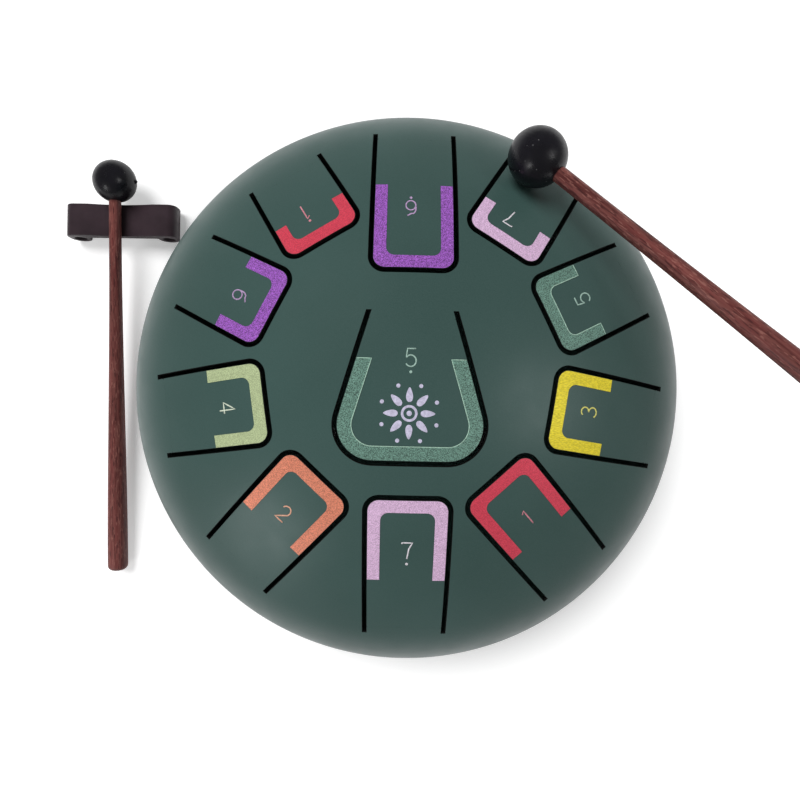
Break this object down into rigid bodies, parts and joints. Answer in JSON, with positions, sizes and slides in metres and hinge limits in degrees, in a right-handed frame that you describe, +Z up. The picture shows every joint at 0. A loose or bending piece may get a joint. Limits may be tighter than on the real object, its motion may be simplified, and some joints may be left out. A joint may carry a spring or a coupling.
{
  "type": "steel tongue drum",
  "caption": "Round steel tongue drum with slotted tongues, coloured note bands and rubber feet, with a pair of rubber-headed wooden mallets and a mallet rest.",
  "frame": {"origin": "on the drum's upright axis, on the flat plane that its three rubber feet stand on", "axes": "+Z up along the drum axis; +Y from the axis to the low 6 tongue; +X to the 3 and 5 tongues and to the grip of the mallet that strikes; the mallet rest is on the -X side"},
  "size_m": [0.3271, 0.2051, 0.1541],
  "materials": {
    "drum_paint": "satin dark green metallic paint, very fine grain",
    "band_green": "grainy pale green foil with a light outline",
    "band_purple": "grainy purple foil",
    "band_pink": "grainy pale pink foil",
    "band_red": "grainy red foil",
    "band_orange": "grainy orange foil",
    "band_yellow": "brushed yellow foil",
    "band_lime": "grainy pale lime foil",
    "foot_rubber": "matt moulded rubber",
    "fastener_steel": "zinc-plated steel",
    "stick_wood": "dark red hardwood, open grain, thin oil finish",
    "head_rubber": "smooth black rubber, soft highlights",
    "rest_plastic": "dark brown moulded plastic, satin"
  },
  "bodies": {
    "drum": {"upper_shell": "drum_paint", "lower_shell": "drum_paint", "weld_seam": "drum_paint", "foot_front": "foot_rubber", "foot_rear_left": "foot_rubber", "foot_rear_right": "foot_rubber", "foot_screws": "fastener_steel", "foot_washers": "fastener_steel", "foot_nuts": "fastener_steel"},
    "tongue_low_5": {"tongue_low_5": "drum_paint", "band_low_5": "band_green"},
    "tongue_low_6": {"tongue_low_6": "drum_paint", "band_low_6": "band_purple"},
    "tongue_low_7": {"tongue_low_7": "drum_paint", "band_low_7": "band_pink"},
    "tongue_1": {"tongue_1": "drum_paint", "band_1": "band_red"},
    "tongue_2": {"tongue_2": "drum_paint", "band_2": "band_orange"},
    "tongue_3": {"tongue_3": "drum_paint", "band_3": "band_yellow"},
    "tongue_4": {"tongue_4": "drum_paint", "band_4": "band_lime"},
    "tongue_5": {"tongue_5": "drum_paint", "band_5": "band_green"},
    "tongue_6": {"tongue_6": "drum_paint", "band_6": "band_purple"},
    "tongue_7": {"tongue_7": "drum_paint", "band_7": "band_pink"},
    "tongue_high_1": {"tongue_high_1": "drum_paint", "band_high_1": "band_red"},
    "mallet_rest": {"mallet_rest": "rest_plastic"},
    "rest_mallet": {"rest_mallet_stick": "stick_wood", "rest_mallet_head": "head_rubber"},
    "playing_mallet": {"playing_mallet_stick": "stick_wood", "playing_mallet_head": "head_rubber"}
  },
  "joints": [
    {"name": "flex_low_5", "type": "hinge", "parent": "drum", "child": "tongue_low_5", "pos_m": [0, 0.01941, 0.11232], "axis": [-1, 0, 0], "range_deg": [-0.4, 0.4], "stiffness_Nm_per_rad": 40.5},
    {"name": "flex_low_6", "type": "hinge", "parent": "drum", "child": "tongue_low_6", "pos_m": [0, 0.083, 0.09035], "axis": [-1, 0, 0], "range_deg": [-0.4, 0.4], "stiffness_Nm_per_rad": 26.3},
    {"name": "flex_low_7", "type": "hinge", "parent": "drum", "child": "tongue_low_7", "pos_m": [0, -0.0809, 0.0916], "axis": [1, 0, 0], "range_deg": [-0.4, 0.4], "stiffness_Nm_per_rad": 27.8},
    {"name": "flex_1", "type": "hinge", "parent": "drum", "child": "tongue_1", "pos_m": [0.05625, -0.06117, 0.09029], "axis": [0.7361, 0.6769, 0], "range_deg": [-0.4, 0.4], "stiffness_Nm_per_rad": 28.8},
    {"name": "flex_2", "type": "hinge", "parent": "drum", "child": "tongue_2", "pos_m": [-0.05516, -0.05999, 0.09125], "axis": [0.7361, -0.6769, 0], "range_deg": [-0.4, 0.4], "stiffness_Nm_per_rad": 30.5},
    {"name": "flex_3", "type": "hinge", "parent": "drum", "child": "tongue_3", "pos_m": [0.0814, -0.01217, 0.09077], "axis": [0.1478, 0.989, 0], "range_deg": [-0.4, 0.4], "stiffness_Nm_per_rad": 33.6},
    {"name": "flex_4", "type": "hinge", "parent": "drum", "child": "tongue_4", "pos_m": [-0.08021, -0.01199, 0.09148], "axis": [0.1478, -0.989, 0], "range_deg": [-0.4, 0.4], "stiffness_Nm_per_rad": 35.4},
    {"name": "flex_5", "type": "hinge", "parent": "drum", "child": "tongue_5", "pos_m": [0.07305, 0.03658, 0.09113], "axis": [-0.4478, 0.8942, 0], "range_deg": [-0.4, 0.4], "stiffness_Nm_per_rad": 37},
    {"name": "flex_6", "type": "hinge", "parent": "drum", "child": "tongue_6", "pos_m": [-0.07082, 0.03546, 0.09258], "axis": [-0.4478, -0.8942, 0], "range_deg": [-0.4, 0.4], "stiffness_Nm_per_rad": 40.8},
    {"name": "flex_7", "type": "hinge", "parent": "drum", "child": "tongue_7", "pos_m": [0.04309, 0.06977, 0.09095], "axis": [-0.8508, 0.5255, 0], "range_deg": [-0.4, 0.4], "stiffness_Nm_per_rad": 42.3},
    {"name": "flex_high_1", "type": "hinge", "parent": "drum", "child": "tongue_high_1", "pos_m": [-0.0422, 0.06832, 0.09195], "axis": [-0.8508, -0.5255, 0], "range_deg": [-0.4, 0.4], "stiffness_Nm_per_rad": 45.7},
    {"name": "rest_lift", "type": "slide", "parent": "drum", "child": "mallet_rest", "axis": [0, 0, 1], "range_m": [0, 0.1]},
    {"name": "mallet_lift", "type": "slide", "parent": "mallet_rest", "child": "rest_mallet", "axis": [0, 0, 1], "range_m": [0, 0.12]},
    {"name": "strike", "type": "hinge", "parent": "drum", "child": "playing_mallet", "pos_m": [0.14202, -0.02826, 0.14194], "axis": [0.7034, 0.7108, 0], "range_deg": [0, 30]}
  ]
}
